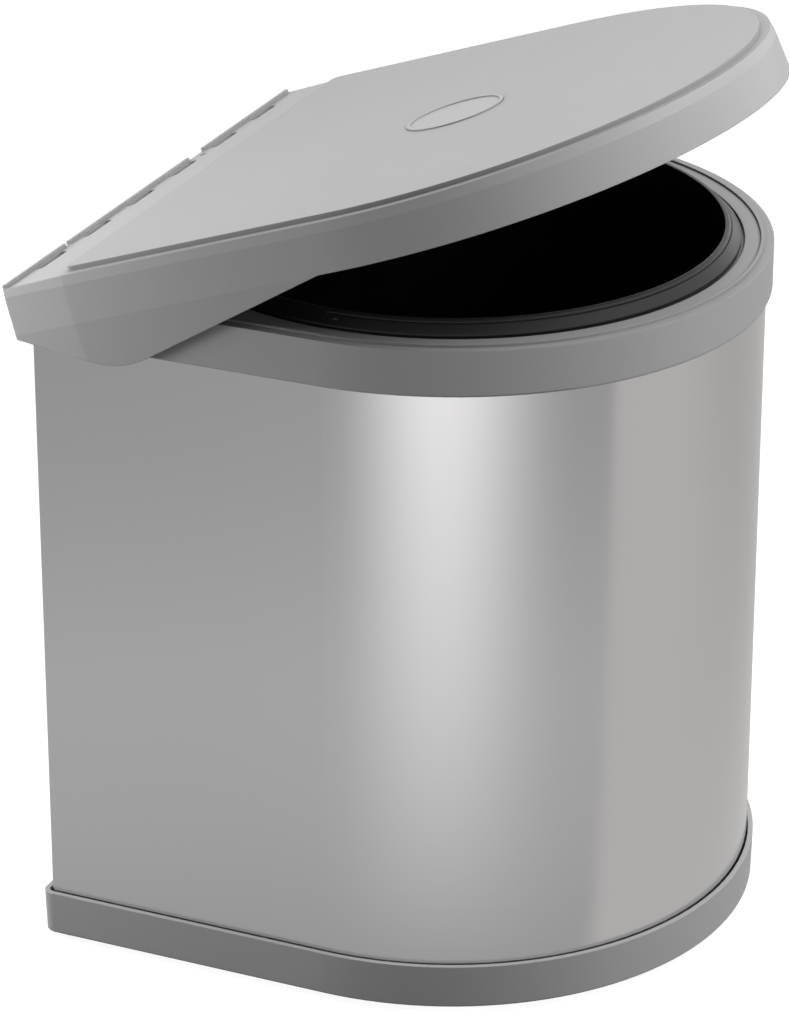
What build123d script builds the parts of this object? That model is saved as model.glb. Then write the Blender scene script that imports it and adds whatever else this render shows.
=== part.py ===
from build123d import *
import math
import os

os.makedirs("parts", exist_ok=True)

# Door-mounted waste bin: a round bucket in a D-shaped body with a tipping lid.
# Frame: +Z up from the floor, +Y towards the door, +X to the right of someone facing the bin.
# The origin is at floor level, in the middle of the overall depth.

# Plan of the body: a half circle in front, straight sides and a flat back
AXIS_Y = -4.3            # axis of the bucket and of the half circle
DOOR_GAP = 13.0          # back of the body to the door

# Base tray and its feet
FOOT_HEIGHT = 3.5
FOOT_R = 3.6
FOOT_STEM_R = 2.0
FOOT_EDGE = 0.7          # chamfer at the floor
FOOT_INSET = 9.0         # foot centre to the tray's outer face
FRONT_FOOT_ANGLE = 35.0
TRAY_HEIGHT = 19.3
TRAY_WALL = 2.2
TRAY_FLOOR = 2.5
TRAY_DRAFT = 0.4
TRAY_EDGE_R = 1.2
TRAY_CORNER_R = 5.0
SHELL_GAP = 0.6          # between the sheet and the rims that hold it
SHELL_RIB = 1.6          # rib inside the sheet
SHELL_RIB_HEIGHT = 9.0

# Wrapped stainless sheet and the flat rear panel
SHEET = 0.6
SHELL_TUCK = 4.0         # how far the sheet ends below the collar's top
SHELL_BEND_R = 2.0
SHELL_FLANGE = 14.0
SHELL_BACK_GAP = 1.6     # flanges to the collar's back wall
PANEL_SHEET = 1.0
PANEL_GAP = 0.4
RIVET_R = 1.6
RIVET_HEAD_R = 3.2
RIVET_HEAD = 1.2
RIVET_CROWN = 0.8        # height of the chamfer on the head
RIVET_ROWS = 3
RIVET_INSET = 24.0       # end rivets above the tray and below the collar

# Collar
COLLAR_TOP = 296.5       # outer ledge above the floor
COLLAR_HEIGHT = 19.6
COLLAR_WALL = 2.0
COLLAR_DECK = 2.5
DECK_SIDE = 6.6          # deck between the rim's bore and the ridge, at the sides
DECK_BACK = 5.6          # the same at the back
LEDGE_WIDTH = 4.0
RIDGE_WIDTH = 1.5
RIDGE_HEIGHT = 1.1
DECK_RISE = 0.3
SEAT_THICK = 2.4
SEAT_DROP = 1.0          # collar's top to the seat of the bucket

# Bucket
BUCKET_R = 112.8         # inside radius at the mouth
BUCKET_WALL = 1.5
BUCKET_TAPER = 17.3      # how far the wall leans in from the mouth to the base
BUCKET_FLOOR_GAP = 10.0  # base above the tray's floor
BUCKET_CREST_RISE = 6.0  # crest of the rim above the collar's top
BUCKET_BASE_ROUND = 8.0
LIP_THICK = 2.5
RIM_WIDTH = 6.6          # mouth to the outside of the rim
RIM_EDGE = 2.2           # height of the rim's outer edge
RIM_CLEARANCE = 1.5      # rim to the collar's bore

# Bail of the bucket: a half ring that lies in the front of the rim
BAIL_GAP = 0.2
BAIL_FLOOR = 1.0         # rim left under the bail
BAIL_END = 4.0           # how far the ends pass the pivots
BAIL_PIN_R = 1.3
BAIL_PIN_RISE = 2.6      # bail's underside to the pins' centre
BAIL_PIN_DEPTH = 1.8

# Lid
LID_OPEN = 19.3          # tilt in the rest pose, degrees
HINGE_INSET = 40.0       # pivots ahead of the collar's back
HINGE_DROP = 11.0        # pivots below the collar's top
LID_SHIFT = 16.3         # closed lid's centre ahead of the bucket's axis
LID_RISE = 15.4          # closed lid's ledge above the collar's top
LID_CLEARANCE = 1.2      # collar to the inside of the lid's cheeks
LID_OVERHANG = 0.5       # closed lid's back edge behind the collar's
LID_BEVEL_OUT = 1.0
LID_BEVEL = 4.1
LID_SKIRT_OUT = 1.5      # draft of the skirt below the bevel
LID_DEPTH = 20.0
LID_WALL = 1.8
LID_BEVEL_WALL = 1.1     # inside the bevel, where the collar's corners come close
LID_TOP = 2.0
PANEL_INSET = 4.2
PANEL_RISE = 2.0
STRIP_WIDTH = 28.3       # from the panel's back to the back edge
PANEL_CORNER_R = 3.0
STRIP_FALL = 0.8         # the back strip falls this much to the back edge
STRIP_THICK = 1.7
BACK_WALL_DEPTH = 10.0
LIP_RISE = 1.6
LIP_WALL = 1.4
LIP_GAP_X = 40.0
LIP_GAP = 14.0
LIP_NICK_X = -80.0
LIP_NICK = 3.0
SLOT_COUNT = 6
SLOT_PITCH = 40.0
SLOT_LENGTH = 22.0
SLOT_WIDTH = 4.2
SLOT_EDGE = 1.0          # slot to the foot of the lip
CORD_HOLE_R = 1.8
BADGE_R = 21.0
BADGE_RECESS = 0.6
BADGE_PROUD = 0.5
BADGE_RIM = 1.6
BADGE_DISH = 0.4
BADGE_GAP = 0.15

# Cheeks of the lid and the pivots in them
CHEEK_FRONT = 7.0        # front end of the cheek, behind the lid's centre
CHEEK_APEX_AHEAD = 1.5   # lowest corner ahead of the pivot
CHEEK_APEX_DROP = 16.3   # lowest corner below the pivot
CHEEK_APEX_R = 38.0
CHEEK_END = 1.7          # how far the cheek hangs below the skirt at the lid's back
PIVOT_R = 4.0
PIVOT_CLEARANCE = 0.05
PIVOT_REACH = 7.6        # pin inside the cheek
BUSH_WALL = 1.4
BUSH_FLANGE = 1.4
BOSS_WALL = 1.6
NOTCH_GAP = 0.7

# Ribs under the lid
RING_RIB = 1.8
RING_RIB_ANGLE = 140.0
RING_RIB_CLEARANCE = 0.4
BAR_RIB = 1.6
BAR_RIB_DEPTH = 5.0
BAR_RIB_PITCH = 58.0
BAR_RIB_FRONT_GAP = 41.5
BAR_RIB_BACK_GAP = 22.5

# Door bracket and the bumpers that hold the bin off the door
BRACKET_THICK = 2.0
BRACKET_WIDTH = 144.0
BRACKET_HEIGHT = 46.0
BRACKET_DROP = 50.9      # collar to the plate's centre
BRACKET_CORNER_R = 6.0
BRACKET_HOLE_R = 2.5
BRACKET_HOLE_X = 120.0
BRACKET_HOLE_Z = 28.0
HOOK_X = 36.0
HOOK_WIDTH = 20.0
HOOK_RISE = 12.0
HOOK_GAP = 0.8
HOOK_SIDE_GAP = 1.0
HOOK_BEND_R = 2.0
HOOK_TIP_R = 0.6
BUMPER_R = 8.0
BUMPER_NOSE = 1.2
BUMPER_DRAFT = 0.5
BUMPER_SIDE = 44.0       # rear panel's side to the bumpers
BUMPER_INSET = 24.0      # lower bumpers above the tray, upper ones below the collar
BUMPER_STEM_R = 2.5
BUMPER_STEM = 5.0
BUMPER_BARB_R = 3.2

# Worked-out heights
tray_z = FOOT_HEIGHT
tray_floor_z = tray_z + TRAY_FLOOR
tray_top = tray_z + TRAY_HEIGHT
shell_top = COLLAR_TOP - SHELL_TUCK
collar_bottom = COLLAR_TOP - COLLAR_HEIGHT
deck_under = COLLAR_TOP - COLLAR_DECK
deck_top = COLLAR_TOP + DECK_RISE
seat_z = COLLAR_TOP - SEAT_DROP

# Worked-out plan sizes, all from the bucket's axis
rim_r = BUCKET_R + RIM_WIDTH
rim_bore = rim_r + RIM_CLEARANCE
body_half = rim_bore + DECK_SIDE + RIDGE_WIDTH + LEDGE_WIDTH
body_back = rim_bore + DECK_BACK + RIDGE_WIDTH + LEDGE_WIDTH
shell_half = body_half - COLLAR_WALL - SHELL_GAP
shell_back = body_back - COLLAR_WALL - SHELL_BACK_GAP
tray_half = shell_half + SHELL_GAP + TRAY_WALL
rib_half = shell_half - SHEET - PANEL_GAP
rib_corner = TRAY_CORNER_R - TRAY_WALL
panel_back = shell_back - SHEET
panel_front = panel_back - PANEL_SHEET
rib_back = panel_front - PANEL_GAP
ridge_half = body_half - LEDGE_WIDTH
door_y = AXIS_Y + body_back + DOOR_GAP

# Lid frame: origin at the centre of its half circle, +Z out of its top, +Y to its back edge
hinge_setback = body_back - HINGE_INSET
hinge_y = AXIS_Y + hinge_setback
hinge_z = COLLAR_TOP - HINGE_DROP
tilt = math.radians(LID_OPEN)
hinge_back = hinge_setback + LID_SHIFT
hinge_depth = LID_RISE + HINGE_DROP
lid_y = hinge_y - hinge_back * math.cos(tilt) + hinge_depth * math.sin(tilt)
lid_z = hinge_z + hinge_back * math.sin(tilt) + hinge_depth * math.cos(tilt)
LID = Plane(origin=(0, lid_y, lid_z), x_dir=(1, 0, 0), z_dir=(0, math.sin(tilt), math.cos(tilt)))
lid_inner = body_half + LID_CLEARANCE
lid_half = lid_inner + LID_WALL
lid_edge_half = lid_half - LID_SKIRT_OUT
lid_top_half = lid_edge_half - LID_BEVEL_OUT
lid_length = body_back + LID_SHIFT + LID_OVERHANG
strip_start = lid_length - STRIP_WIDTH


def level(z):
    """Horizontal plane at a height, centred on the bucket's axis."""
    return Plane((0, AXIS_Y, z))


def side_plane(x):
    """Plane square to X in the lid's frame: its X runs to the lid's back, its Y out of the lid's top."""
    origin = LID.from_local_coords((x, 0, 0))
    return Plane(origin=origin, x_dir=LID.y_dir, z_dir=LID.x_dir)


def d_shape(half, back, corner=0.0, mode=Mode.ADD):
    """D outline: a half circle in front, straight sides and a flat back."""
    with BuildSketch(mode=Mode.PRIVATE) as outline:
        with BuildLine():
            Polyline((half, 0), (half, back), (-half, back), (-half, 0))
            ThreePointArc((-half, 0), (0, -half), (half, 0))
        make_face()
        if corner > 0:
            fillet(outline.vertices().group_by(Axis.Y)[-1], corner)
    add(outline.sketch, mode=mode)


# Base tray: a shallow dish with a rib that holds the sheet against its rim
with BuildPart() as base_tray:
    with BuildSketch(level(tray_z)):
        d_shape(tray_half - TRAY_DRAFT, body_back - TRAY_DRAFT, TRAY_CORNER_R)
    with BuildSketch(level(tray_top)):
        d_shape(tray_half, body_back, TRAY_CORNER_R)
    loft(ruled=True)
    fillet(base_tray.edges().group_by(Axis.Z)[0], TRAY_EDGE_R)
    with BuildSketch(level(tray_floor_z)):
        d_shape(tray_half - TRAY_WALL, body_back - TRAY_WALL, rib_corner)
    extrude(amount=TRAY_HEIGHT, mode=Mode.SUBTRACT)
    with BuildSketch(level(tray_floor_z)):
        d_shape(rib_half, rib_back, rib_corner)
        d_shape(rib_half - SHELL_RIB, rib_back - SHELL_RIB, rib_corner - SHELL_RIB, mode=Mode.SUBTRACT)
    extrude(amount=SHELL_RIB_HEIGHT)

foot_ring = tray_half - TRAY_DRAFT - FOOT_INSET
foot_back = body_back - FOOT_INSET
front_x = foot_ring * math.sin(math.radians(FRONT_FOOT_ANGLE))
front_y = -foot_ring * math.cos(math.radians(FRONT_FOOT_ANGLE))
foot_places = [(-foot_ring, foot_back), (foot_ring, foot_back), (-front_x, front_y), (front_x, front_y)]

with base_tray:
    with Locations(*[level(tray_z).location * Location((x, y, 0)) for x, y in foot_places]):
        Cylinder(FOOT_STEM_R, TRAY_FLOOR, align=(Align.CENTER, Align.CENTER, Align.MIN), mode=Mode.SUBTRACT)

base_tray.part.label = "base_tray"
export_step(base_tray.part, "parts/base_tray.step")

# Four small feet, each with a stem in the tray's floor
for number, (x, y) in enumerate(foot_places, start=1):
    with BuildPart() as foot:
        with BuildSketch(Plane((x, AXIS_Y + y, 0))):
            Circle(FOOT_R)
        extrude(amount=FOOT_HEIGHT)
        chamfer(foot.edges().group_by(Axis.Z)[0], FOOT_EDGE)
        with BuildSketch(Plane((x, AXIS_Y + y, FOOT_HEIGHT))):
            Circle(FOOT_STEM_R)
        extrude(amount=TRAY_FLOOR)
    foot.part.label = f"foot_{number}"
    export_step(foot.part, f"parts/foot_{number}.step")

# Rivets sit in the middle of the flanges, at even heights
rivet_x = shell_half - SHELL_FLANGE / 2
rivet_low = tray_top + RIVET_INSET
rivet_high = collar_bottom - RIVET_INSET
rivet_step = (rivet_high - rivet_low) / (RIVET_ROWS - 1)
rivet_heights = [rivet_low + row * rivet_step for row in range(RIVET_ROWS)]
back_plane = Plane(origin=(0, AXIS_Y + shell_back, 0), x_dir=(-1, 0, 0), z_dir=(0, 1, 0))
rivet_places = [(side * rivet_x, z) for side in (-1, 1) for z in rivet_heights]

# Outer shell: one sheet wrapped round the front, with flanges turned in at the back
with BuildPart() as outer_shell:
    with BuildSketch(level(tray_floor_z)):
        d_shape(shell_half, shell_back, SHELL_BEND_R)
        d_shape(shell_half - SHEET, shell_back - SHEET, SHELL_BEND_R - SHEET, mode=Mode.SUBTRACT)
        with Locations((0, shell_back)):
            Rectangle(2 * (shell_half - SHELL_FLANGE), 4 * SHEET, mode=Mode.SUBTRACT)
    extrude(amount=shell_top - tray_floor_z)
    with BuildSketch(Plane(origin=(0, hinge_y, hinge_z), x_dir=(0, 1, 0), z_dir=(1, 0, 0))):
        notch_r = PIVOT_R + PIVOT_CLEARANCE + BUSH_WALL + BOSS_WALL + NOTCH_GAP
        Circle(notch_r)
        with Locations((0, HINGE_DROP / 2)):
            Rectangle(2 * notch_r, HINGE_DROP)
    extrude(amount=body_half, both=True, mode=Mode.SUBTRACT)
    with BuildSketch(back_plane):
        with Locations(*rivet_places):
            Circle(RIVET_R)
    extrude(amount=-2 * SHEET, mode=Mode.SUBTRACT)
outer_shell.part.label = "outer_shell"
export_step(outer_shell.part, "parts/outer_shell.step")

# Rear panel: a flat plate behind the flanges, with two slots for the hooks of the door bracket
bracket_z = collar_bottom - BRACKET_DROP
hook_top = bracket_z + BRACKET_HEIGHT / 2
slot_height = BRACKET_THICK + HOOK_RISE + HOOK_GAP
panel_plane = Plane(origin=(0, AXIS_Y + panel_back, 0), x_dir=(-1, 0, 0), z_dir=(0, 1, 0))
panel_half = shell_half - SHELL_BEND_R - PANEL_GAP
panel_top = deck_under - PANEL_GAP
bumper_x = panel_half - BUMPER_SIDE
bumper_low = tray_top + BUMPER_INSET
bumper_high = collar_bottom - BUMPER_INSET
bumper_places = [(side * bumper_x, z) for side in (-1, 1) for z in (bumper_low, bumper_high)]

with BuildPart() as rear_panel:
    with BuildSketch(panel_plane):
        with Locations((0, (tray_floor_z + panel_top) / 2)):
            Rectangle(2 * panel_half, panel_top - tray_floor_z)
        with Locations((-HOOK_X, hook_top - slot_height / 2), (HOOK_X, hook_top - slot_height / 2)):
            Rectangle(HOOK_WIDTH + 2 * HOOK_SIDE_GAP, slot_height, mode=Mode.SUBTRACT)
        with Locations(*rivet_places):
            Circle(RIVET_R, mode=Mode.SUBTRACT)
        with Locations(*bumper_places):
            Circle(BUMPER_STEM_R, mode=Mode.SUBTRACT)
    extrude(amount=-PANEL_SHEET)
rear_panel.part.label = "rear_panel"
export_step(rear_panel.part, "parts/rear_panel.step")

# Rivets: a domed head outside, a shank through both sheets and a flat head inside
stack = SHEET + PANEL_SHEET
for number, (x, z) in enumerate(rivet_places, start=1):
    with BuildPart() as rivet:
        with BuildSketch(Plane(origin=(-x, AXIS_Y + shell_back, z), x_dir=(1, 0, 0), z_dir=(0, 0, 1))):
            with BuildLine():
                Polyline(
                    (0, RIVET_HEAD), (0, -stack - RIVET_HEAD), (RIVET_HEAD_R, -stack - RIVET_HEAD),
                    (RIVET_HEAD_R, -stack), (RIVET_R, -stack), (RIVET_R, 0), (RIVET_HEAD_R, 0),
                    (RIVET_HEAD_R, RIVET_HEAD - RIVET_CROWN), (RIVET_R, RIVET_HEAD), close=True,
                )
            make_face()
        revolve(axis=Axis((-x, AXIS_Y + shell_back, z), (0, 1, 0)))
    rivet.part.label = f"rivet_{number}"
    export_step(rivet.part, f"parts/rivet_{number}.step")

# Collar: a skirt over the sheet, a deck with an outer ledge and a ridge, and a ring that seats the bucket
bush_r = PIVOT_R + PIVOT_CLEARANCE + BUSH_WALL
boss_r = bush_r + BOSS_WALL
boss_inner = lid_inner - PIVOT_REACH

with BuildPart() as collar:
    with BuildSketch(level(collar_bottom)):
        d_shape(body_half, body_back, TRAY_CORNER_R)
    extrude(amount=COLLAR_HEIGHT)
    fillet(collar.edges().group_by(Axis.Z)[0], COLLAR_WALL / 2)
    with BuildSketch(level(COLLAR_TOP)):
        d_shape(ridge_half, body_back - LEDGE_WIDTH, TRAY_CORNER_R - LEDGE_WIDTH)
    extrude(amount=RIDGE_HEIGHT)
    with BuildSketch(level(deck_top)):
        d_shape(ridge_half - RIDGE_WIDTH, body_back - LEDGE_WIDTH - RIDGE_WIDTH)
    extrude(amount=RIDGE_HEIGHT, mode=Mode.SUBTRACT)
    with BuildSketch(level(collar_bottom)):
        d_shape(body_half - COLLAR_WALL, body_back - COLLAR_WALL, TRAY_CORNER_R - COLLAR_WALL)
    extrude(amount=COLLAR_HEIGHT - COLLAR_DECK, mode=Mode.SUBTRACT)
    with BuildSketch(level(seat_z - SEAT_THICK)):
        Circle(rim_bore + COLLAR_WALL)
    extrude(amount=deck_top - seat_z + SEAT_THICK)
    with BuildSketch(level(seat_z)):
        Circle(rim_bore)
    extrude(amount=2 * RIDGE_HEIGHT + SEAT_DROP, mode=Mode.SUBTRACT)
    with BuildSketch(level(seat_z - SEAT_THICK)):
        Circle(BUCKET_R + BUCKET_WALL + RIM_CLEARANCE)
    extrude(amount=SEAT_THICK, mode=Mode.SUBTRACT)
    for side in (-1, 1):
        with BuildSketch(Plane(origin=(side * boss_inner, hinge_y, hinge_z), z_dir=(side, 0, 0))):
            Circle(boss_r)
        extrude(amount=body_half - boss_inner - COLLAR_WALL / 2)
        with BuildSketch(Plane(origin=(side * boss_inner, hinge_y, hinge_z), z_dir=(side, 0, 0))):
            Circle(bush_r)
        extrude(amount=body_half, mode=Mode.SUBTRACT)
collar.part.label = "collar"
export_step(collar.part, "parts/collar.step")

# Bushes for the lid's pivots, pushed into the collar from inside
for side, name in ((-1, "left"), (1, "right")):
    inner_plane = Plane(origin=(side * (boss_inner - BUSH_FLANGE), hinge_y, hinge_z), z_dir=(side, 0, 0))
    with BuildPart() as bush:
        with BuildSketch(inner_plane):
            Circle(boss_r)
        extrude(amount=BUSH_FLANGE)
        with BuildSketch(inner_plane):
            Circle(bush_r)
        extrude(amount=body_half - boss_inner + BUSH_FLANGE)
        with BuildSketch(inner_plane):
            Circle(PIVOT_R + PIVOT_CLEARANCE)
        extrude(amount=body_half, mode=Mode.SUBTRACT)
    bush.part.label = f"hinge_bush_{name}"
    export_step(bush.part, f"parts/hinge_bush_{name}.step")

# Bucket: a tapered turned form with a thick lip and a sloping rim
lip_r = BUCKET_R + LIP_THICK
rim_low = seat_z
rim_edge_z = seat_z + RIM_EDGE
axis_plane = Plane(origin=(0, AXIS_Y, 0), x_dir=(1, 0, 0), z_dir=(0, -1, 0))
crest_out = BUCKET_R + BUCKET_WALL
bucket_crest = COLLAR_TOP + BUCKET_CREST_RISE
bucket_base_r = crest_out - BUCKET_TAPER
bucket_base_z = tray_floor_z + BUCKET_FLOOR_GAP
bucket_axis = Axis((0, AXIS_Y, 0), (0, 0, 1))
rim_slope = (bucket_crest - rim_edge_z) / (rim_r - crest_out)
bail_inner = lip_r + BAIL_GAP
bail_low = rim_low + BAIL_FLOOR + BAIL_GAP
bail_pin_z = bail_low + BAIL_PIN_RISE
bucket_floor_z = bucket_base_z + BUCKET_WALL

with BuildPart() as bucket:
    with BuildSketch(axis_plane):
        with BuildLine():
            Polyline(
                (0, bucket_base_z), (bucket_base_r, bucket_base_z), (crest_out, rim_low), (rim_r, rim_low),
                (rim_r, rim_edge_z), (crest_out, bucket_crest), (0, bucket_crest), close=True,
            )
        make_face()
        fillet(vertices().group_by(Axis.Y)[0].sort_by(Axis.X)[-1], BUCKET_BASE_ROUND)
    revolve(axis=bucket_axis)
    with BuildSketch(axis_plane):
        with BuildLine():
            Polyline(
                (0, bucket_floor_z), (bucket_base_r - BUCKET_WALL, bucket_floor_z),
                (BUCKET_R, bucket_crest), (0, bucket_crest), close=True,
            )
        make_face()
        fillet(vertices().group_by(Axis.Y)[0].sort_by(Axis.X)[-1], BUCKET_BASE_ROUND - BUCKET_WALL)
    revolve(axis=bucket_axis, mode=Mode.SUBTRACT)
    with BuildSketch(level(bail_low - BAIL_GAP)):
        Circle(rim_bore)
        Circle(lip_r, mode=Mode.SUBTRACT)
        with Locations((0, BAIL_END + BAIL_GAP)):
            Rectangle(2 * rim_bore, rim_bore, align=(Align.CENTER, Align.MIN), mode=Mode.SUBTRACT)
    extrude(amount=bucket_crest - rim_low, mode=Mode.SUBTRACT)
    with BuildSketch(Plane(origin=(0, AXIS_Y, bail_pin_z), z_dir=(1, 0, 0))):
        Circle(BAIL_PIN_R + PIVOT_CLEARANCE)
    extrude(amount=lip_r, both=True, mode=Mode.SUBTRACT)
bucket.part.label = "bucket"
export_step(bucket.part, "parts/bucket.step")

# Bail: the front half of the rim's slope is the bail itself, on two pegs in the bucket's lip
with BuildPart() as bail:
    with BuildSketch(axis_plane):
        with BuildLine():
            Polyline(
                (bail_inner, bail_low), (rim_r, bail_low), (rim_r, rim_edge_z),
                (bail_inner, rim_edge_z + (rim_r - bail_inner) * rim_slope), close=True,
            )
        make_face()
    revolve(axis=bucket_axis)
    with BuildSketch(level(bail_low)):
        with Locations((0, BAIL_END)):
            Rectangle(2 * rim_bore, rim_bore, align=(Align.CENTER, Align.MIN))
    extrude(amount=bucket_crest - bail_low, mode=Mode.SUBTRACT)
    for side in (-1, 1):
        pin_x = side * (lip_r - BAIL_PIN_DEPTH)
        with BuildSketch(Plane(origin=(pin_x, AXIS_Y, bail_pin_z), z_dir=(side, 0, 0))):
            Circle(BAIL_PIN_R)
        extrude(amount=BAIL_PIN_DEPTH + BAIL_GAP + BAIL_PIN_DEPTH)
bail.part.label = "bucket_bail"
export_step(bail.part, "parts/bucket_bail.step")

# Lid: a thin moulded cap with a raised panel, a falling back strip and cheeks that carry the pivots
cheek_outline = [
    (CHEEK_FRONT, -LID_DEPTH), (hinge_back - CHEEK_APEX_AHEAD, -hinge_depth - CHEEK_APEX_DROP),
    (lid_length, -LID_DEPTH - CHEEK_END), (lid_length, -LID_DEPTH),
]
slot_y = lid_length - LIP_WALL - SLOT_EDGE - SLOT_WIDTH / 2
strip_under = STRIP_FALL + STRIP_THICK
ring_rib_depth = LID_RISE - DECK_RISE - RING_RIB_CLEARANCE
ring_rib_r = (rim_bore + ridge_half - RIDGE_WIDTH) / 2
bar_rib_front = lid_top_half - BAR_RIB_FRONT_GAP
bar_rib_back = strip_start - BAR_RIB_BACK_GAP

with BuildPart() as lid:
    with BuildSketch(LID.offset(-LID_DEPTH)):
        d_shape(lid_half, lid_length)
    with BuildSketch(LID.offset(-LID_BEVEL)):
        d_shape(lid_edge_half, lid_length)
    loft(ruled=True)
    with BuildSketch(LID.offset(-LID_BEVEL)):
        d_shape(lid_edge_half, lid_length)
    with BuildSketch(LID):
        d_shape(lid_top_half, lid_length)
    loft(ruled=True)
    with BuildSketch(LID):
        d_shape(lid_top_half - PANEL_INSET, strip_start, PANEL_CORNER_R)
    extrude(amount=PANEL_RISE)

    # Hollow from below, with the raised panel followed inside
    with BuildSketch(LID.offset(-LID_DEPTH)):
        d_shape(lid_inner, lid_length - LID_WALL)
    with BuildSketch(LID.offset(-LID_BEVEL)):
        d_shape(lid_edge_half - LID_BEVEL_WALL, lid_length - LID_WALL)
    loft(ruled=True, mode=Mode.SUBTRACT)
    with BuildSketch(LID.offset(-LID_BEVEL)):
        d_shape(lid_edge_half - LID_BEVEL_WALL, lid_length - LID_WALL)
    with BuildSketch(LID.offset(-LID_TOP)):
        d_shape(lid_top_half - LID_WALL, lid_length - LID_WALL)
    loft(ruled=True, mode=Mode.SUBTRACT)
    with BuildSketch(LID.offset(-LID_TOP)):
        d_shape(lid_top_half - PANEL_INSET - LID_WALL, strip_start - LID_WALL, PANEL_CORNER_R - LID_WALL)
    extrude(amount=PANEL_RISE, mode=Mode.SUBTRACT)

    # Back strip: filled below, then its top falls to the back edge
    with BuildSketch(LID.offset(-strip_under)):
        with Locations((0, (strip_start + lid_length) / 2 - LID_WALL / 2)):
            Rectangle(2 * lid_top_half, lid_length - strip_start + LID_WALL)
    extrude(amount=strip_under - STRIP_FALL)
    with BuildSketch(side_plane(-lid_half)):
        with BuildLine():
            Polyline(
                (strip_start, 0), (lid_length, -STRIP_FALL),
                (lid_length, PANEL_RISE), (strip_start, PANEL_RISE), close=True,
            )
        make_face()
    extrude(amount=2 * lid_half, mode=Mode.SUBTRACT)

    # Back lip with a gap and a nick, and the slots and the cord hole in front of it
    with BuildSketch(LID.offset(-strip_under)):
        with Locations((0, lid_length)):
            Rectangle(2 * lid_top_half, LIP_WALL, align=(Align.CENTER, Align.MAX))
        with Locations((LIP_GAP_X, lid_length)):
            Rectangle(LIP_GAP, 2 * LIP_WALL, mode=Mode.SUBTRACT)
        with Locations((LIP_NICK_X, lid_length)):
            Rectangle(LIP_NICK, 2 * LIP_WALL, mode=Mode.SUBTRACT)
    extrude(amount=STRIP_THICK + LIP_RISE)
    with BuildSketch(LID.offset(-strip_under)):
        with Locations((0, slot_y)):
            with GridLocations(SLOT_PITCH, 0, SLOT_COUNT, 1):
                SlotOverall(SLOT_LENGTH, SLOT_WIDTH)
        with Locations((LIP_GAP_X, slot_y)):
            Circle(CORD_HOLE_R)
    extrude(amount=strip_under, mode=Mode.SUBTRACT)

    # The back wall stops short, so that it passes over the collar's back edge
    with BuildSketch(LID.offset(-LID_DEPTH)):
        with Locations((0, lid_length)):
            Rectangle(2 * lid_inner, 4 * LID_WALL)
    extrude(amount=LID_DEPTH - BACK_WALL_DEPTH, mode=Mode.SUBTRACT)

    # Cheeks and pivot pins
    for side in (-1, 1):
        with BuildSketch(side_plane(side * lid_half)):
            with BuildLine():
                Polyline(*cheek_outline, close=True)
            make_face()
            fillet(vertices().sort_by(Axis.Y)[0], CHEEK_APEX_R)
        extrude(amount=-side * LID_WALL)
        with BuildSketch(side_plane(side * lid_inner)):
            with Locations((hinge_back, -hinge_depth)):
                Circle(PIVOT_R)
        extrude(amount=-side * PIVOT_REACH)

    # Ribs: an arc that stands over the collar's deck when the lid is shut, and three bars
    with BuildSketch(LID.offset(-ring_rib_depth)):
        with BuildLine():
            CenterArc((0, LID_SHIFT), ring_rib_r, 270 - RING_RIB_ANGLE / 2, RING_RIB_ANGLE)
        trace(line_width=RING_RIB)
    extrude(amount=ring_rib_depth + PANEL_RISE / 2)
    with BuildSketch(LID.offset(-BAR_RIB_DEPTH)):
        with Locations((0, (bar_rib_back - bar_rib_front) / 2)):
            with GridLocations(BAR_RIB_PITCH, 0, 3, 1):
                Rectangle(BAR_RIB, bar_rib_back + bar_rib_front)
    extrude(amount=BAR_RIB_DEPTH + PANEL_RISE / 2)

    # Round recess for the badge
    with BuildSketch(LID.offset(PANEL_RISE - BADGE_RECESS)):
        Circle(BADGE_R)
    extrude(amount=BADGE_RECESS, mode=Mode.SUBTRACT)
lid.part.label = "lid"
export_step(lid.part, "parts/lid.step")

# Badge: a plain round disc with a thin raised rim, glued into the lid
with BuildPart() as badge:
    with BuildSketch(LID.offset(PANEL_RISE - BADGE_RECESS)):
        Circle(BADGE_R - BADGE_GAP)
    extrude(amount=BADGE_RECESS + BADGE_PROUD)
    with BuildSketch(LID.offset(PANEL_RISE + BADGE_PROUD - BADGE_DISH)):
        Circle(BADGE_R - BADGE_GAP - BADGE_RIM)
    extrude(amount=BADGE_DISH, mode=Mode.SUBTRACT)
badge.part.label = "lid_badge"
export_step(badge.part, "parts/lid_badge.step")

# Door bracket: a steel plate with two hooks bent from its top edge
bracket_plane = Plane(origin=(0, door_y, bracket_z), x_dir=(1, 0, 0), z_dir=(0, -1, 0))
hook_inner = AXIS_Y + panel_front - HOOK_GAP
hook_front = hook_inner - BRACKET_THICK
hook_root = door_y - BRACKET_THICK / 2
hook_tip = hook_top + HOOK_RISE
hook_under = hook_top - BRACKET_THICK

with BuildPart() as door_bracket:
    with BuildSketch(bracket_plane):
        RectangleRounded(BRACKET_WIDTH, BRACKET_HEIGHT, BRACKET_CORNER_R)
        with GridLocations(BRACKET_HOLE_X, BRACKET_HOLE_Z, 2, 2):
            Circle(BRACKET_HOLE_R, mode=Mode.SUBTRACT)
    extrude(amount=BRACKET_THICK)
    for side in (-1, 1):
        hook_side = side * HOOK_X - HOOK_WIDTH / 2
        with BuildSketch(Plane(origin=(hook_side, 0, 0), x_dir=(0, 1, 0), z_dir=(1, 0, 0))):
            with BuildLine():
                Polyline(
                    (hook_root, hook_top), (hook_inner, hook_top), (hook_inner, hook_tip),
                    (hook_front, hook_tip), (hook_front, hook_under), (hook_root, hook_under), close=True,
                )
            make_face()
            fillet(vertices().group_by(Axis.Y)[0].sort_by(Axis.X)[0], HOOK_BEND_R)
            fillet(vertices().group_by(Axis.Y)[-1], HOOK_TIP_R)
        extrude(amount=HOOK_WIDTH)
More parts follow.
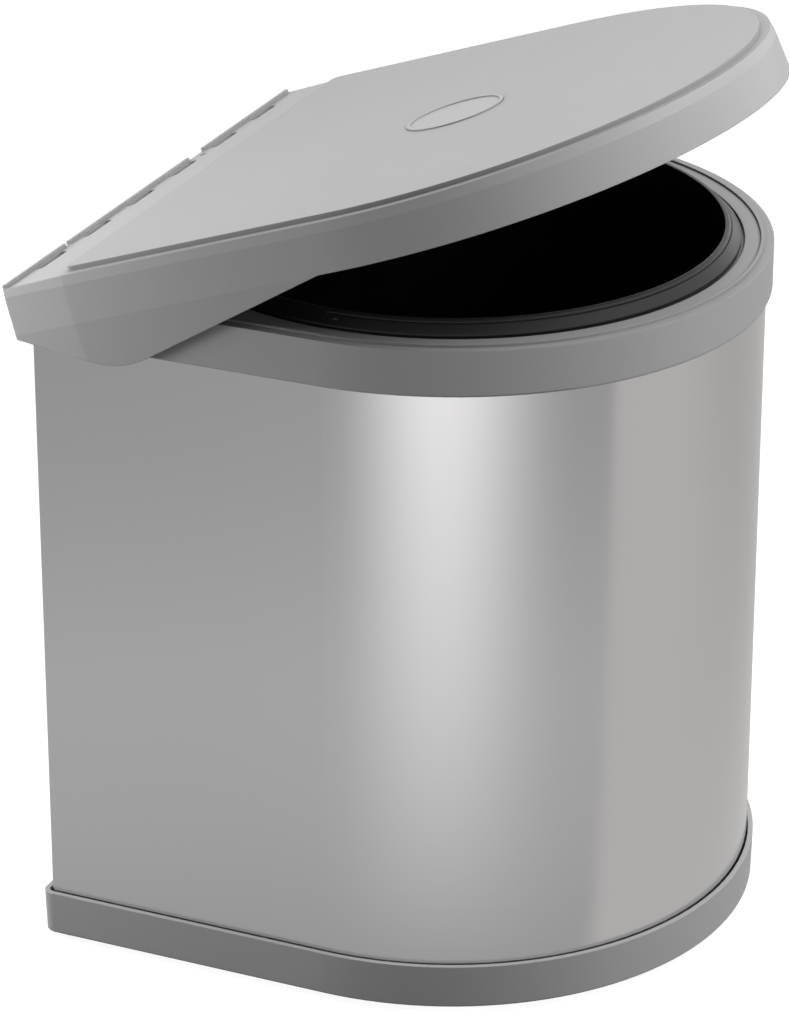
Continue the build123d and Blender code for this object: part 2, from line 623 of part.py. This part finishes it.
door_bracket.part.label = "door_bracket"
export_step(door_bracket.part, "parts/door_bracket.step")

# Bumpers: rubber buttons pushed into the rear panel, long enough to reach the door
bumper_length = body_back + DOOR_GAP - panel_back
for number, (x, z) in enumerate(bumper_places, start=1):
    with BuildPart() as bumper:
        with BuildSketch(Plane(origin=(x, door_y, z), x_dir=(1, 0, 0), z_dir=(0, 0, -1))):
            with BuildLine():
                Polyline(
                    (0, 0), (BUMPER_R - BUMPER_NOSE, 0), (BUMPER_R, BUMPER_NOSE),
                    (BUMPER_R - BUMPER_DRAFT, bumper_length), (BUMPER_STEM_R, bumper_length),
                    (BUMPER_STEM_R, bumper_length + PANEL_SHEET),
                    (BUMPER_BARB_R, bumper_length + PANEL_SHEET),
                    (BUMPER_STEM_R - BUMPER_DRAFT, bumper_length + BUMPER_STEM),
                    (0, bumper_length + BUMPER_STEM), close=True,
                )
            make_face()
        revolve(axis=Axis((x, door_y, z), (0, 1, 0)))
    bumper.part.label = f"bumper_{number}"
    export_step(bumper.part, f"parts/bumper_{number}.step")
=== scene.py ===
# %% [markdown]
# A waste bin for the inside of a cabinet door: a moulded grey lid, collar and tray, a wrapped sheet
# of brushed stainless steel, and a black bucket. The solids come from the CAD model, already in
# place, so this script makes no shape of its own. It gives the solids their finishes and sets the
# studio around them: the camera, the floor and the lamps. What a reader may want to change has a
# name and stands near its use. Lengths are in metres, and pattern scales in cycles a metre.

# %% Load the model
import bpy
import math
from mathutils import Matrix, Vector

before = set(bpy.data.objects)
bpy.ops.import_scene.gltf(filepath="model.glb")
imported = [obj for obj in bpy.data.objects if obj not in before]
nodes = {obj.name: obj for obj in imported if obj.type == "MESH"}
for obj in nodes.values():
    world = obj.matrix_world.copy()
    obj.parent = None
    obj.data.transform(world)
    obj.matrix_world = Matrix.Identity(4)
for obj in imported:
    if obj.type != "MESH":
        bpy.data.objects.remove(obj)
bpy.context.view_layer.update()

# %% [markdown]
# The camera looks from 66 degrees round to the left of the front and 24 degrees up, from 1.8 metres
# away with a long lens. It could be placed by eye and nudged until the picture fits. Here its place
# was worked out from the outlines of the bin instead, which gives the lens as well. The frame is
# taller than it is wide, so Blender measures the sensor and the shift along its height.

# %% Camera
PICTURE = (789, 1009)
FOCAL_PIXELS = 4377.8
CENTRE = (390.3, 501.2)
STAND = Vector((-1.5669, -0.6695, 0.9338))
AIM = Vector((-0.0638, -0.0043, 0.1999))
ROLL = math.radians(-0.04)
SENSOR_MM = 36.0
SEES_TO = 20.0

wide, tall = PICTURE
lens = bpy.data.cameras.new("camera")
lens.sensor_width = SENSOR_MM
lens.lens = FOCAL_PIXELS * SENSOR_MM / tall
lens.shift_x = (wide / 2 - CENTRE[0]) / tall
lens.shift_y = (CENTRE[1] - tall / 2) / tall
lens.clip_end = SEES_TO
camera = bpy.data.objects.new("camera", lens)
bpy.context.scene.collection.objects.link(camera)
turn = (AIM - STAND).to_track_quat("-Z", "Y").to_matrix() @ Matrix.Rotation(ROLL, 3, "Z")
camera.matrix_world = Matrix.Translation(STAND) @ turn.to_4x4()
bpy.context.scene.camera = camera
print("camera lens", round(lens.lens, 1), "mm")

# %% [markdown]
# A finish is a small graph of shader nodes. It could be wired link by link, but then the sums hide
# among the links. Two helpers keep the graphs readable. A wire holds one socket and takes part in
# sums, so that `1 - mask` and `a * b + c` add the Math nodes by themselves. A graph has one method
# that makes any other node: it takes the node's kind, its settings, and what goes into its sockets.

# %% Wires
class Wire:
    """An output socket that can be added, multiplied and compared like a number."""

    def __init__(self, graph, socket):
        self.graph = graph
        self.socket = socket

    def math(self, operation, *values):
        """A Math node with these values, the wire among them or not."""
        settings = {"operation": operation}
        return self.graph.node("Math", settings, dict(enumerate(values)))

    def __add__(self, other):
        return self.math("ADD", self, other)

    def __sub__(self, other):
        return self.math("SUBTRACT", self, other)

    def __rsub__(self, other):
        return self.math("SUBTRACT", other, self)

    def __mul__(self, other):
        return self.math("MULTIPLY", self, other)

    def __truediv__(self, other):
        return self.math("DIVIDE", self, other)

    def __pow__(self, other):
        return self.math("POWER", self, other)

    def at_least(self, value):
        return self.math("MAXIMUM", self, value)

    def at_most(self, value):
        return self.math("MINIMUM", self, value)

    def above(self, edge, soft):
        """0 below the edge and 1 above it, with a smooth step that reaches `soft` to each side."""
        limits = {"Value": self, "From Min": edge - soft, "From Max": edge + soft}
        return self.graph.node("MapRange", {"interpolation_type": "SMOOTHSTEP"}, limits)

    __radd__ = __add__
    __rmul__ = __mul__


print("wires ready")

# %% Graphs
COLUMNS, COLUMN_WIDTH, ROW_HEIGHT = 8, 220, 260


class Graph:
    """The node tree of a material or a world, with one method that makes its nodes."""

    def __init__(self, tree):
        self.tree = tree
        self.made = 0

    def node(self, kind, settings, sockets, output=0):
        """Make a node, set it, fill its sockets, and give one of its outputs as a wire."""
        node = self.tree.nodes.new("ShaderNode" + kind)
        row, column = divmod(self.made, COLUMNS)
        node.location = (COLUMN_WIDTH * column, -ROW_HEIGHT * row)
        self.made += 1
        for name, value in settings.items():
            if name == "stops":
                self.set_stops(node.color_ramp.elements, value)
            else:
                setattr(node, name, value)
        for name, value in sockets.items():
            self.feed(node.inputs[name], value)
        return Wire(self, node.outputs[output])

    def set_stops(self, elements, stops):
        """Give a ramp, which starts with two elements, these places and grey levels."""
        for place, level in stops[2:]:
            elements.new(place)
        for element, (place, level) in zip(elements, stops):
            element.position = place
            element.color = (level, level, level, 1.0)

    def feed(self, socket, value):
        """Link a wire to a socket, or set the socket's own value."""
        if isinstance(value, Wire):
            self.tree.links.new(value.socket, socket)
        else:
            socket.default_value = value


print("graphs ready")

# %% [markdown]
# Most finishes share their first lines: a material, its Principled shader with its plain values,
# and the place on the piece. The place is taken from the piece itself, so a pattern stays on the
# lid when the lid turns. A finish then makes patterns and adds them up to a shade. Their shares
# add up to 1, so the shade stays between 0 and 1, and picks a tone between a dark and a light one.
# A pattern less a half swings both ways, which is how it roughens and smooths a surface by turns.

# %% Start of a finish
BEVEL_SAMPLES = 4


def new_finish(name, **plain):
    """A material, its graph, its shader node and the place on the piece as a wire."""
    material = bpy.data.materials.new(name)
    material.use_nodes = True
    graph = Graph(material.node_tree)
    shader = material.node_tree.nodes["Principled BSDF"]
    for socket, value in plain.items():
        shader.inputs[socket.replace("_", " ")].default_value = value
    place = graph.node("TexCoord", {}, {}, "Object")
    return material, graph, shader, place


def noise(graph, place, scale, detail=3.0, rough=0.5):
    """Cloudy noise between 0 and 1."""
    values = {"Vector": place, "Scale": scale, "Detail": detail, "Roughness": rough}
    return graph.node("TexNoise", {"noise_dimensions": "3D"}, values)


def stretched(graph, place, x, y, z):
    """The place with each axis scaled, for grain that runs one way: noise on it has scale 1."""
    return graph.node("VectorMath", {"operation": "MULTIPLY"}, {0: place, 1: (x, y, z)})


def tint(graph, factor, dark, light):
    """A colour between two, by a wire."""
    colours = {"Factor": factor, "A": (*dark, 1.0), "B": (*light, 1.0)}
    return graph.node("Mix", {"data_type": "RGBA", "clamp_factor": True}, colours, "Result")


def scaled(graph, colour, level):
    """A colour made brighter or darker by a wire, which keeps its hue."""
    return graph.node("VectorMath", {"operation": "SCALE"}, {0: colour, "Scale": level})


def along(graph, vector, axis):
    """How far a place or a direction reaches along an axis."""
    return graph.node("VectorMath", {"operation": "DOT_PRODUCT"}, {0: vector, 1: axis}, "Value")


def relief(graph, shader, height, strength, depth, rounding=None):
    """Bump the surface by a height, and show its edges rounded where a radius is given."""
    bump = {"Strength": strength, "Distance": depth, "Height": height}
    if rounding is not None:
        bump["Normal"] = graph.node("Bevel", {"samples": BEVEL_SAMPLES}, {"Radius": rounding})
    graph.feed(shader.inputs["Normal"], graph.node("Bump", {}, bump))


print("finish starter ready")

# %% [markdown]
# The grey mouldings are satin plastic with a little silver pigment. Close up their skin has the
# fine even grain of a spark-eroded mould; further off the pigment makes faint clouds and flow
# marks. Noise makes all of these: it needs no unwrapping and stays sharp at any distance. The mould
# rounds the edges, which a Bevel node shows without touching the solids. Shade is painted into the
# steps, slots and seams: an Ambient Occlusion node tells how open a point lies, and the colour is
# darkened where a wall stands close by. Light is painted onto the lid's back strip: its colour is
# made a little paler than the panel's, from a line across the lid, which is tilted as the lid is at
# rest.

# %% Grey moulded plastic
CLOUD_SCALE, FLECK_SCALE, SKIN_SCALE = 14.0, 2600.0, 1500.0
FLOW_SCALES = (6.0, 30.0, 30.0)
SKIN_DEPTH, MOULD_ROUNDING = 0.00015, 0.0005
# How near a wall must stand for the painted crevice shade, and the samples that look for it.
CREVICE, CREVICE_SAMPLES = 0.006, 6
LID_TILT = math.radians(19.3)
STRIP_AXIS = (0.0, math.cos(LID_TILT), -math.sin(LID_TILT))
# Where the strip's painted light starts, how soft its edge is, and how much paler it makes the
# colour.
STRIP_START, STRIP_SOFT, STRIP_PAINTED_LIGHT = 0.0006, 0.0002, 0.12


def moulded(name, tones, roughness, metallic, grain, painted_shade=0.6, painted_strip_light=False):
    """Plastic between two greys, grained and rounded, with painted crevice shade and maybe strip
    light.
    """
    material, graph, shader, place = new_finish(name, Metallic=metallic)
    clouds = noise(graph, place, CLOUD_SCALE, detail=4.0, rough=0.55)
    flow = noise(graph, stretched(graph, place, *FLOW_SCALES), 1.0)
    fleck = noise(graph, place, FLECK_SCALE, detail=1.0)
    shade = clouds * 0.5 + flow * 0.3 + fleck * 0.2
    # Painted shade: the colour is darkened where the Ambient Occlusion node finds a wall close by.
    crevice = {"Distance": CREVICE}
    open_air = graph.node("AmbientOcclusion", {"samples": CREVICE_SAMPLES}, crevice, "AO")
    level = open_air * painted_shade + (1.0 - painted_shade)
    # Painted light: the lid's back strip is made paler to stand in for the light it catches.
    if painted_strip_light:
        strip_light_mask = along(graph, place, STRIP_AXIS).above(STRIP_START, STRIP_SOFT)
        level = level * (strip_light_mask * STRIP_PAINTED_LIGHT + 1.0)
    graph.feed(shader.inputs["Base Color"], scaled(graph, tint(graph, shade, *tones), level))
    swing = (clouds - 0.5) * 0.10 + (fleck - 0.5) * 0.12
    graph.feed(shader.inputs["Roughness"], swing + roughness)
    skin = noise(graph, place, SKIN_SCALE, detail=2.0)
    relief(graph, shader, skin, grain, SKIN_DEPTH, MOULD_ROUNDING)
    return material


print("moulded plastic, with dust within", CREVICE * 1000, "mm of a wall")

# %% [markdown]
# The four mouldings differ little, so one function makes them all. Collar and lid are one grey, and
# the lid, which is touched most, is a little smoother. The tray is paler and gets less painted
# shade in its crevices. The badge is a separate piece glued into the lid, smoother still and with a
# little more pigment.

# %% The four mouldings
GREY = ((0.35, 0.35, 0.357), (0.39, 0.39, 0.398))
TRAY_GREY = ((0.46, 0.46, 0.467), (0.50, 0.50, 0.507))
BADGE_GREY = ((0.37, 0.37, 0.378), (0.42, 0.42, 0.428))

# The lid's back strip gets painted light.
lid_plastic = moulded("lid_plastic", GREY, roughness=0.40, metallic=0.06, grain=0.25, painted_strip_light=True)
body_plastic = moulded("body_plastic", GREY, roughness=0.46, metallic=0.06, grain=0.3)
# The tray gets less painted shade in its crevices.
tray_plastic = moulded(
    "tray_plastic", TRAY_GREY, roughness=0.46, metallic=0.06, grain=0.3, painted_shade=0.2
)
badge_plastic = moulded("badge_plastic", BADGE_GREY, roughness=0.34, metallic=0.1, grain=0.2)
mouldings = (lid_plastic, body_plastic, tray_plastic, badge_plastic)
print("moulded plastics", [plastic.name for plastic in mouldings])

# %% [markdown]
# The stainless sheet is brushed along its length, so the fine scratches run level round the body.
# Noise that changes slowly on the level and fast going up makes them, once for the tone and once
# for the bump, and a coarser set breaks the evenness. The finest scratches are too small for a
# pattern, so the shader's own anisotropy does their work and spreads highlights upright.

# %% Brushed stainless steel
STEEL_TONES = ((0.585, 0.578, 0.58), (0.62, 0.612, 0.616))
SCRATCH_LEVEL, SCRATCH_UPRIGHT = 6.0, 3600.0
STREAK_LEVEL, STREAK_UPRIGHT = SCRATCH_LEVEL * 0.4, SCRATCH_UPRIGHT * 0.2
STEEL_CLOUD_SCALE = 9.0
SCRATCH_DEPTH = 0.00005


def brushed(name, tones, roughness, strength):
    """Steel with level scratches, coarser streaks and faint clouds."""
    grain = {"Anisotropic": 0.55, "Anisotropic_Rotation": 0.25}
    material, graph, shader, place = new_finish(name, Metallic=1.0, **grain)
    scratches = stretched(graph, place, SCRATCH_LEVEL, SCRATCH_LEVEL, SCRATCH_UPRIGHT)
    streaks = stretched(graph, place, STREAK_LEVEL, STREAK_LEVEL, STREAK_UPRIGHT)
    fine = noise(graph, scratches, 1.0, rough=0.65)
    coarse = noise(graph, streaks, 1.0, detail=2.0)
    clouds = noise(graph, place, STEEL_CLOUD_SCALE)
    shade = fine * 0.45 + coarse * 0.3 + clouds * 0.25
    graph.feed(shader.inputs["Base Color"], tint(graph, shade, *tones))
    swing = (fine - 0.5) * 0.12 + (clouds - 0.5) * 0.06
    graph.feed(shader.inputs["Roughness"], swing + roughness)
    relief(graph, shader, fine * 0.7 + coarse * 0.3, strength, SCRATCH_DEPTH)
    return material


stainless = brushed("stainless", STEEL_TONES, roughness=0.17, strength=0.06)
print("brushed steel", stainless.name)

# %% [markdown]
# The bucket is black polypropylene: a deep satin black whose rim has been handled, so it is a
# little smoother and browner there. A mask by height picks the rim out, which a second material on
# the same solid could do only with a hard edge. Fine level lines are left by the turned mould.

# %% Black plastic
BLACK_TONES = ((0.006, 0.006, 0.007), (0.022, 0.020, 0.020))
BLACK_CLOUD_SCALE = 22.0
TURNING_SCALES = (3.0, 3.0, 1400.0)
RIM_HEIGHT, RIM_SOFT = 0.2965, 0.0015
TURNING_DEPTH, RIM_ROUNDING = 0.0001, 0.0008


def black_plastic(name, tones, roughness, strength):
    """Satin black with a handled rim and the level lines of a turned mould."""
    material, graph, shader, place = new_finish(name)
    clouds = noise(graph, place, BLACK_CLOUD_SCALE, detail=4.0)
    lines = noise(graph, stretched(graph, place, *TURNING_SCALES), 1.0, detail=2.0)
    rim = graph.node("SeparateXYZ", {}, {"Vector": place}, "Z").above(RIM_HEIGHT, RIM_SOFT)
    graph.feed(shader.inputs["Base Color"], tint(graph, clouds * 0.6 + rim * 0.4, *tones))
    wear = clouds * 0.14 + lines * 0.06 - rim * 0.04
    graph.feed(shader.inputs["Roughness"], wear + roughness)
    relief(graph, shader, lines * 0.6 + clouds * 0.4, strength, TURNING_DEPTH, RIM_ROUNDING)
    return material


bucket_black = black_plastic("bucket_black", BLACK_TONES, roughness=0.26, strength=0.10)
print("bucket", bucket_black.name)

# %% [markdown]
# The rear plate is galvanised sheet, where the zinc has set in crystals. A Voronoi pattern gives
# each crystal its own tone, and a little noise bends its straight borders. The bracket is zinc
# plated and plainer, and the rivets are aluminium: the same pattern, finer and with less contrast,
# serves for them as a faint mottle, so one function makes all three.

# %% Zinc and aluminium
ZINC_CLOUD_SCALE = 30.0
BEND_SCALE, BEND_REACH = 60.0, 0.004
CRYSTAL_RELIEF, CRYSTAL_DEPTH = 0.15, 0.0001


def spangled(name, dark, light, roughness, cells, contrast):
    """Metal set in crystals, `cells` of them a metre, each with its own tone and roughness."""
    material, graph, shader, place = new_finish(name, Metallic=1.0)
    bend = graph.node("TexNoise", {}, {"Vector": place, "Scale": BEND_SCALE}, "Color")
    bent = {0: place, 1: scaled(graph, bend, BEND_REACH)}
    crystals = {"Vector": graph.node("VectorMath", {"operation": "ADD"}, bent), "Scale": cells}
    colour = graph.node("TexVoronoi", {}, crystals, "Color")
    tone = graph.node("SeparateColor", {}, {"Color": colour}, "Red")
    clouds = noise(graph, place, ZINC_CLOUD_SCALE, detail=4.0)
    shade = tone * contrast + clouds * (1 - contrast)
    graph.feed(shader.inputs["Base Color"], tint(graph, shade, dark, light))
    swing = (tone - 0.5) * 0.2 * contrast + clouds * 0.1
    graph.feed(shader.inputs["Roughness"], swing + roughness)
    relief(graph, shader, tone * contrast + clouds * 0.3, CRYSTAL_RELIEF, CRYSTAL_DEPTH)
    return material


galvanised = spangled(
    "galvanised", (0.44, 0.46, 0.48), (0.60, 0.62, 0.64), roughness=0.38, cells=130.0, contrast=0.7
)
zinc_plate = spangled(
    "zinc_plate", (0.55, 0.56, 0.56), (0.66, 0.66, 0.65), roughness=0.3, cells=900.0, contrast=0.3
)
rivet_metal = spangled(
    "rivet_metal", (0.62, 0.62, 0.63), (0.74, 0.74, 0.74), roughness=0.28, cells=1600.0,
    contrast=0.25,
)
print("metals", galvanised.name, zinc_plate.name, rivet_metal.name)

# %% [markdown]
# Feet and bumpers are dull black rubber with a dusty bloom, and the pivot bushes are acetal, a waxy
# white. Both are dull and nearly even, so one function serves: a soft bloom and a fine speck give
# the tone, and the speck alone gives the skin, strong on the rubber and weak on the acetal.

# %% Rubber and acetal
BLOOM_SCALE, SPECK_SCALE = 180.0, 1800.0
SPECK_DEPTH, SMALL_ROUNDING = 0.0001, 0.0004


def dull(name, dark, light, roughness, grain):
    """A dull surface with a soft bloom and a fine speck."""
    material, graph, shader, place = new_finish(name)
    bloom = noise(graph, place, BLOOM_SCALE, detail=5.0, rough=0.6)
    speck = noise(graph, place, SPECK_SCALE, detail=2.0)
    graph.feed(shader.inputs["Base Color"], tint(graph, bloom * 0.8 + speck * 0.2, dark, light))
    graph.feed(shader.inputs["Roughness"], (bloom - 0.5) * 0.15 + roughness)
    relief(graph, shader, speck, grain, SPECK_DEPTH, SMALL_ROUNDING)
    return material


rubber = dull("rubber", (0.018, 0.018, 0.019), (0.05, 0.05, 0.052), roughness=0.7, grain=0.35)
acetal = dull("acetal", (0.74, 0.74, 0.71), (0.82, 0.82, 0.79), roughness=0.35, grain=0.08)
print("rubber and acetal", rubber.name, acetal.name)

# %% [markdown]
# Each solid now gets its finish. The solids keep their meshes, so only the material slots change.
# Pieces that come in sets, such as rivet_3 or hinge_bush_left, take the finish of their kind.

# %% Dress the pieces
finishes = {
    "base_tray": tray_plastic,
    "collar": body_plastic,
    "lid": lid_plastic,
    "lid_badge": badge_plastic,
    "outer_shell": stainless,
    "rear_panel": galvanised,
    "door_bracket": zinc_plate,
    "bucket": bucket_black,
    "bucket_bail": bucket_black,
    "hinge_bush": acetal,
    "rivet": rivet_metal,
    "foot": rubber,
    "bumper": rubber,
}

for name, piece in nodes.items():
    kind = name if name in finishes else name.rsplit("_", 1)[0]
    piece.data.materials.clear()
    piece.data.materials.append(finishes[kind])
print("dressed", len(nodes), "pieces")

# %% [markdown]
# The studio is a white floor in a white room. An even white room alone would leave the plastic
# without shadows and the steel without form, so the kinds of ray are told apart. A diffuse surface
# gets a dim and even fill, and the lamps do the modelling. A glossy surface sees grey walls, a
# bright backdrop behind the bin, brightest low down, and a ceiling a little brighter than the
# walls. The camera itself sees plain white. The edges below are on the ray's direction, which runs
# from -1 to 1 along an axis.

# %% The room
WHITE = (1.0, 1.0, 1.0, 1.0)
UP = (0.0, 0.0, 1.0)
FACING = math.radians(-66.13)
TO_CAMERA = (math.sin(FACING), -math.cos(FACING), 0.0)
TO_RIGHT = (math.cos(FACING), math.sin(FACING), 0.0)
FILL, WALLS, CEILING = 0.09, 0.55, 0.2
BACKDROP, BACKDROP_LOW = 0.20, 0.48
BACKDROP_EDGE, BACKDROP_SOFT = -0.2, 0.5
LOW_EDGE, LOW_SOFT = 0.22, 0.2
CEILING_EDGE, CEILING_SOFT = 0.75, 0.3

world = bpy.data.worlds.new("room")
world.use_nodes = True
bpy.context.scene.world = world
room = Graph(world.node_tree)
background = world.node_tree.nodes["Background"]
background.inputs["Color"].default_value = WHITE
ray = room.node("TexCoord", {}, {}, "Generated")
behind = 1 - along(room, ray, TO_CAMERA).above(BACKDROP_EDGE, BACKDROP_SOFT)
raised = along(room, ray, UP)
low = 1 - raised.above(LOW_EDGE, LOW_SOFT)
overhead = raised.above(CEILING_EDGE, CEILING_SOFT)
mirrored = WALLS + behind * (BACKDROP + low * BACKDROP_LOW) + overhead * CEILING
camera_ray = room.node("LightPath", {}, {}, "Is Camera Ray")
glossy_ray = room.node("LightPath", {}, {}, "Is Glossy Ray")
strength = FILL + glossy_ray * (mirrored - FILL)
room.feed(background.inputs["Strength"], strength + camera_ray * (1.0 - strength))
print("room ready, with a fill of", FILL)

# %% [markdown]
# The floor is a wide disc, white to the camera, with the bin's faint shadow on it. It could simply
# be lit until it is white, but then the shadow goes too. So it glows by itself, just short of
# white, and its dim paint adds what the lamps bring, which is missing in the shadow.

# %% The floor
FLOOR_RADIUS, FLOOR_CORNERS = 6.0, 64
FLOOR_ROUGHNESS, FLOOR_GLOW = 0.9, 0.92
PAINT_TONES = ((0.29, 0.29, 0.29), (0.31, 0.31, 0.31))
MOTTLE_SCALE = 3.0

turns = [2 * math.pi * step / FLOOR_CORNERS for step in range(FLOOR_CORNERS)]
outline = [(FLOOR_RADIUS * math.cos(turn), FLOOR_RADIUS * math.sin(turn), 0.0) for turn in turns]
floor_mesh = bpy.data.meshes.new("floor")
floor_mesh.from_pydata(outline, [], [list(range(FLOOR_CORNERS))])
floor = bpy.data.objects.new("floor", floor_mesh)
bpy.context.scene.collection.objects.link(floor)
floor.visible_diffuse = False

glow = {"Emission_Color": WHITE, "Emission_Strength": FLOOR_GLOW}
floor_paint, graph, shader, place = new_finish("floor_paint", Roughness=FLOOR_ROUGHNESS, **glow)
mottle = noise(graph, place, MOTTLE_SCALE)
graph.feed(shader.inputs["Base Color"], tint(graph, mottle, *PAINT_TONES))
floor_mesh.materials.append(floor_paint)
print("floor ready,", 2 * FLOOR_RADIUS, "m across")

# %% [markdown]
# Steel is mostly what it mirrors. Seen from above, this upright wall mirrors the floor in front of
# it, from close by at its foot to far off at its top. Cards and lamps stood around the bin would
# show in it as hard patches. So the floor has a second face, which only glossy rays see, and that
# face carries the studio. Its tone changes with the distance from the bin. A bright fan of light
# widens towards the camera, and a white board with a straight edge lies to the right. `u` runs to
# the camera's right over the floor and `v` towards the camera.

# %% What the steel sees
FLOOR_TONES = [(0.15, 0.50), (0.27, 0.58), (0.42, 0.62), (0.72, 0.49), (1.0, 0.45)]
FAN_NEAREST, FAN_LEAN, FAN_NARROW = 0.05, 0.07, 4.1
FAN_START, FAN_RISE, FAN_MOST = 0.16, 1.35, 0.95
BOARD_SLOPE, BOARD_SHIFT, BOARD_SOFT = 0.553, 0.09, 0.012
BOARD_FAR, BOARD_GAIN, BOARD_EDGE, BOARD_FADE = 0.58, 0.12, -0.1, 0.25
FLOOR_HUE, BOARD_HUE = (1.0, 0.995, 1.0), (1.0, 0.985, 0.965)

u = along(graph, place, TO_RIGHT)
v = along(graph, place, TO_CAMERA)
distance = (u * u + v * v) ** 0.5
tone = graph.node("ValToRGB", {"stops": FLOOR_TONES}, {"Fac": distance})
fan = u / v.at_least(FAN_NEAREST) + FAN_LEAN
fan_light = fan.math("EXPONENT", fan * fan * -FAN_NARROW)
fan_reach = ((v - FAN_START) * FAN_RISE).at_least(0.0).at_most(FAN_MOST)
board = (u * BOARD_SLOPE + BOARD_SHIFT - v).above(0.0, BOARD_SOFT)
board_light = BOARD_FAR + v.above(BOARD_EDGE, BOARD_FADE) * BOARD_GAIN
studio = tone + fan_light * fan_reach + board * (board_light - tone)
pattern = scaled(graph, tint(graph, board, FLOOR_HUE, BOARD_HUE), studio)
print("pattern ready, with", len(FLOOR_TONES), "tones by distance")

# %% [markdown]
# The two faces are two shaders, and a Mix Shader picks between them by the kind of the ray. The
# second only glows: it is black, without shine, and its emission is the pattern.

# %% The floor's two faces
matt_black = {"Base Color": (0.0, 0.0, 0.0, 1.0), "Specular IOR Level": 0.0}
glowing = {**matt_black, "Emission Strength": 1.0, "Emission Color": pattern}
mirrored_face = graph.node("BsdfPrincipled", {}, glowing)
floor_glossy_ray = graph.node("LightPath", {}, {}, "Is Glossy Ray")
faces = {0: floor_glossy_ray, 1: Wire(graph, shader.outputs[0]), 2: mirrored_face}
surface = floor_paint.node_tree.nodes["Material Output"].inputs["Surface"]
graph.feed(surface, graph.node("MixShader", {}, faces))
print("floor faces mixed")

# %% [markdown]
# Four square lamps shape the mouldings. The key is a softbox in front of the bin, well to the
# camera's right, which lights the round front and leaves the near side dark. One nearly straight
# above lights the lid and the ledges. A small one low behind on the left grazes the flat side, and
# a weak one low in front lifts the tray. A larger lamp gives softer shadows, which is why the key
# is wide. None shows in the steel: the floor's pattern does that.

# %% Lamps
def softbox(name, place, aim, side, watts):
    """A square lamp that lights diffuse surfaces and shows in no mirror and to no camera."""
    lamp = bpy.data.lights.new(name, "AREA")
    lamp.shape = "SQUARE"
    lamp.size = side
    lamp.energy = watts
    light = bpy.data.objects.new(name, lamp)
    light.location = place
    light.rotation_euler = (Vector(aim) - Vector(place)).to_track_quat("-Z", "Y").to_euler()
    light.visible_glossy = False
    light.visible_camera = False
    bpy.context.scene.collection.objects.link(light)


softbox("light_key", (0.22, -0.81, 1.15), aim=(0, 0, 0.15), side=0.7, watts=13.0)
softbox("light_top", (0.05, -0.15, 1.5), aim=(0, 0, 0.15), side=0.6, watts=5.5)
softbox("light_graze", (-0.25, 0.43, 0.33), aim=(0, 0, 0.13), side=0.25, watts=2.2)
softbox("light_low", (-0.28, -0.49, 0.30), aim=(0, 0, 0.15), side=0.25, watts=0.5)
bpy.context.scene.view_settings.view_transform = "Standard"
print("lamps ready:", len(bpy.data.lights))
